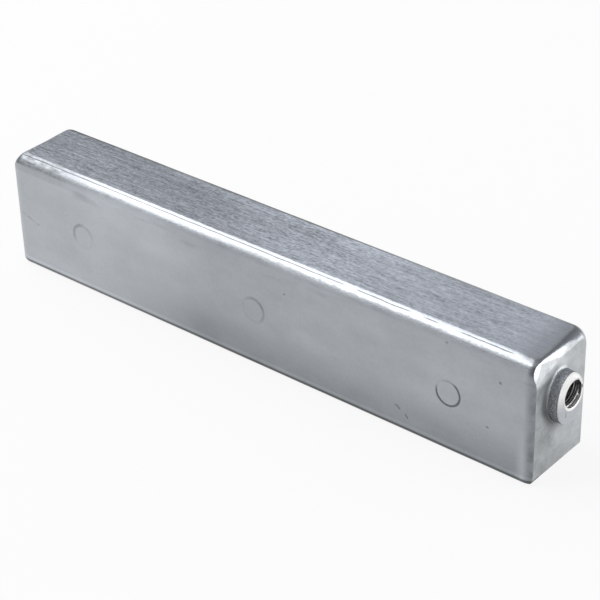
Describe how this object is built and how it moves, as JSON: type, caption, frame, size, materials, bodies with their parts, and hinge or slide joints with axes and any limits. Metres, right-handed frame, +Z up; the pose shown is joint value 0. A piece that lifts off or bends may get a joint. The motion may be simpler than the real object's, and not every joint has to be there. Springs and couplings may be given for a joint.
{
  "type": "sacrificial anode",
  "caption": "Rectangular cast zinc bar with a threaded steel bush in each end, which spans a boat motor's brackets and corrodes in their place.",
  "frame": {"origin": "middle of the flat face that the bar lies on", "axes": "+X along the bar from one screw hole to the other, +Z up, -Y towards the side with the round plug marks"},
  "size_m": [0.2076, 0.0274, 0.0392],
  "materials": {
    "zinc": "satin",
    "steel": "satin"
  },
  "bodies": {
    "root": {"anode_bar": "zinc", "threaded_bush_right": "steel", "threaded_bush_left": "steel"}
  },
  "joints": []
}
